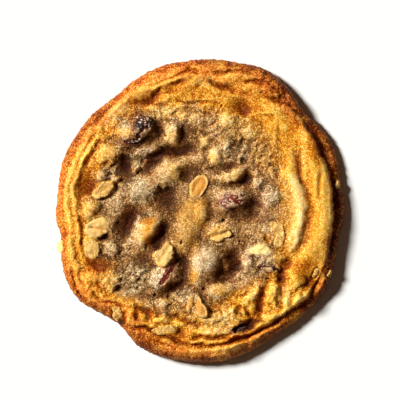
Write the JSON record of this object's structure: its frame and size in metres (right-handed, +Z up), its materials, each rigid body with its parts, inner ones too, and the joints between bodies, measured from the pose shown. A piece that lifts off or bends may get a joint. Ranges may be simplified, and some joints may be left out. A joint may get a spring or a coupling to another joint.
{
  "type": "oatmeal raisin cookie",
  "caption": "Thin wrinkled oatmeal raisin cookie with a lumpy middle, folded golden rim, oat flakes and raisins, lying on its flat base.",
  "frame": {"origin": "on the surface that the cookie lies on, below the middle of its bounding box", "axes": "+Z up out of the cookie's top face, +X to the right and +Y away from the viewer when the cookie is seen from above"},
  "size_m": [0.1156, 0.1212, 0.0129],
  "materials": {
    "baked_dough": "baked oat dough, matte and sandy, golden brown at the rim and beige in the middle",
    "oat_flake": "rolled oat flake, pale cream yellow, matte with a faint sheen",
    "raisin": "dried raisin skin, wrinkled, dark purple brown with a sticky gloss"
  },
  "bodies": {
    "root": {"cookie": "baked_dough", "raisin_1": "raisin", "raisin_2": "raisin", "raisin_3": "raisin", "raisin_4": "raisin", "raisin_5": "raisin"}
  },
  "joints": []
}
